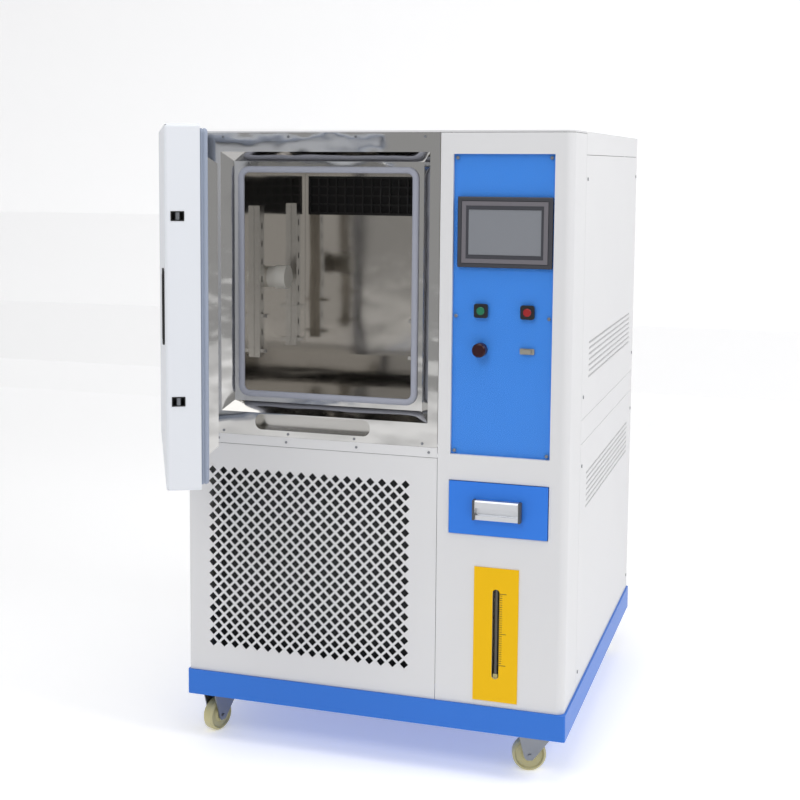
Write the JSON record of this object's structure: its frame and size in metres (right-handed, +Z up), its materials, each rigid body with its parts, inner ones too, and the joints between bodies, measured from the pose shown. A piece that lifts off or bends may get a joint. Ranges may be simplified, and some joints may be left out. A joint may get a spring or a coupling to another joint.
{
  "type": "environmental test chamber",
  "caption": "Floor-standing temperature and humidity test chamber on casters: insulated cavity behind a swing door, control column with filling drawer and water gauge beside it",
  "frame": {"origin": "on the floor under the middle of the bounding box, with the door stored open 63 degrees", "axes": "+X to the right across the front, +Y from the front to the rear, +Z up"},
  "size_m": [0.914, 1.606, 1.412],
  "materials": {
    "casing_paint": "off-white powder coat, fine texture",
    "base_paint": "blue powder coat",
    "frame_paint": "off-white powder coat",
    "plate_paint": "blue, smooth",
    "drawer_paint": "blue powder coat",
    "gauge_paint": "yellow, satin",
    "clear_acrylic": "clear polished sheet",
    "stainless": "stainless sheet, fine brushed",
    "zinc": "zinc plated",
    "serial_metal": "tin plated",
    "seal_silicone": "grey silicone",
    "gasket_rubber": "grey-blue silicone",
    "plug_silicone": "pale silicone",
    "foam": null,
    "black_grille": "black",
    "motor_paint": "black paint",
    "aluminium": "mill and anodised",
    "dark_plastic": "fine grain",
    "screen": "matt display",
    "green_lens": "domed lens",
    "red_lens": "domed lens",
    "buzzer_plastic": "dark maroon",
    "tube_clear": "clear tube",
    "tank_plastic": "natural",
    "fan_plastic": "black",
    "wheel_nylon": "cream nylon"
  },
  "bodies": {
    "cabinet": {"air_grille": "black_grille", "back_duct": "stainless", "base_frame": "base_paint", "blower_motor": "motor_paint", "buzzer": "buzzer_plastic", "cabinet_hinges": "zinc", "casing_screws": "zinc", "caster_plates": "zinc", "cavity_seal": "seal_silicone", "chamber_liner": "stainless", "column_panel": "casing_paint", "compressor": "motor_paint", "condenser": "aluminium", "control_cover": "clear_acrylic", "control_plate": "plate_paint", "corner_posts": "frame_paint", "drawer_runners": "zinc", "evaporator": "aluminium", "frame_rails": "frame_paint", "front_frame": "stainless", "gauge_plate": "gauge_paint", "insulation": "foam", "left_side_panel": "casing_paint", "level_tube": "tube_clear", "lower_front_panel": "casing_paint", "port_plug": "plug_silicone", "rear_panel": "casing_paint", "right_side_panels": "casing_paint", "serial_port": "serial_metal", "shelf_uprights": "stainless", "sill_strip": "casing_paint", "sill_tray": "stainless", "switch_bezels": "dark_plastic", "top_cover": "casing_paint", "touch_panel": "dark_plastic", "touch_screen": "screen", "water_tank": "tank_plastic"},
    "door": {"door_shell": "casing_paint", "door_liner": "stainless", "door_gasket": "gasket_rubber", "handle_case": "dark_plastic", "latch_cases": "dark_plastic", "door_hinges": "zinc"},
    "handle": {"handle_lever": "dark_plastic"},
    "latch": {"latch_bolts": "zinc"},
    "drawer": {"drawer_front": "drawer_paint", "drawer_box": "zinc", "drawer_pull": "aluminium"},
    "light_button": {"light_button": "green_lens"},
    "power_button": {"power_button": "red_lens"},
    "blower": {"blower_wheel": "aluminium"},
    "fan": {"condenser_fan": "fan_plastic"},
    "fork_front_left": {"caster_fork_front_left": "zinc"},
    "wheel_front_left": {"caster_wheel_front_left": "wheel_nylon"},
    "fork_front_right": {"caster_fork_front_right": "zinc"},
    "wheel_front_right": {"caster_wheel_front_right": "wheel_nylon"},
    "fork_rear_left": {"caster_fork_rear_left": "zinc"},
    "wheel_rear_left": {"caster_wheel_rear_left": "wheel_nylon"},
    "fork_rear_right": {"caster_fork_rear_right": "zinc"},
    "wheel_rear_right": {"caster_wheel_rear_right": "wheel_nylon"}
  },
  "joints": [
    {"name": "door_swing", "type": "hinge", "parent": "cabinet", "child": "door", "pos_m": [-0.436, -0.25597, 1.0725], "axis": [0, 0, 1], "range_deg": [-57, 63]},
    {"name": "handle_turn", "type": "hinge", "parent": "door", "child": "handle", "pos_m": [-0.22841, -0.73717, 1.0725], "axis": [0, 0, -1], "range_deg": [0, 38]},
    {"name": "latch_slide", "type": "slide", "parent": "door", "child": "latch", "axis": [-0.454, 0.891, 0], "range_m": [0, 0.006], "stiffness_N_per_m": 1200},
    {"name": "drawer_slide", "type": "slide", "parent": "cabinet", "child": "drawer", "axis": [0, -1, 0], "range_m": [0, 0.25]},
    {"name": "light_press", "type": "slide", "parent": "cabinet", "child": "light_button", "axis": [0, 1, 0], "range_m": [0, 0.003], "stiffness_N_per_m": 200},
    {"name": "power_press", "type": "slide", "parent": "cabinet", "child": "power_button", "axis": [0, 1, 0], "range_m": [0, 0.003], "stiffness_N_per_m": 200},
    {"name": "blower_spin", "type": "hinge", "parent": "cabinet", "child": "blower", "pos_m": [-0.0995, 0.26383, 1.1947], "axis": [0, 1, 0], "continuous": true},
    {"name": "fan_spin", "type": "hinge", "parent": "cabinet", "child": "fan", "pos_m": [-0.124, 0.12303, 0.2933], "axis": [0, 1, 0], "continuous": true},
    {"name": "swivel_front_left", "type": "hinge", "parent": "cabinet", "child": "fork_front_left", "pos_m": [-0.378, -0.13297, 0.0954], "axis": [0, 0, 1], "continuous": true},
    {"name": "roll_front_left", "type": "hinge", "parent": "fork_front_left", "child": "wheel_front_left", "pos_m": [-0.38279, -0.14613, 0.0375], "axis": [0.9397, -0.342, 0], "continuous": true},
    {"name": "swivel_front_right", "type": "hinge", "parent": "cabinet", "child": "fork_front_right", "pos_m": [0.377, -0.12297, 0.0954], "axis": [0, 0, 1], "continuous": true},
    {"name": "roll_front_right", "type": "hinge", "parent": "fork_front_right", "child": "wheel_front_right", "pos_m": [0.36361, -0.12706, 0.0375], "axis": [0.2924, -0.9563, 0], "continuous": true},
    {"name": "swivel_rear_left", "type": "hinge", "parent": "cabinet", "child": "fork_rear_left", "pos_m": [-0.364, 0.73803, 0.0954], "axis": [0, 0, 1], "continuous": true},
    {"name": "roll_rear_left", "type": "hinge", "parent": "fork_rear_left", "child": "wheel_rear_left", "pos_m": [-0.36038, 0.75155, 0.0375], "axis": [-0.9659, 0.2588, 0], "continuous": true},
    {"name": "swivel_rear_right", "type": "hinge", "parent": "cabinet", "child": "fork_rear_right", "pos_m": [0.392, 0.73803, 0.0954], "axis": [0, 0, 1], "continuous": true},
    {"name": "roll_rear_right", "type": "hinge", "parent": "fork_rear_right", "child": "wheel_rear_right", "pos_m": [0.39562, 0.72451, 0.0375], "axis": [0.9659, 0.2588, 0], "continuous": true}
  ],
  "couplings": [
    {"joint": "handle_turn", "follows": "latch_slide", "rad_per_m": 101.8}
  ]
}
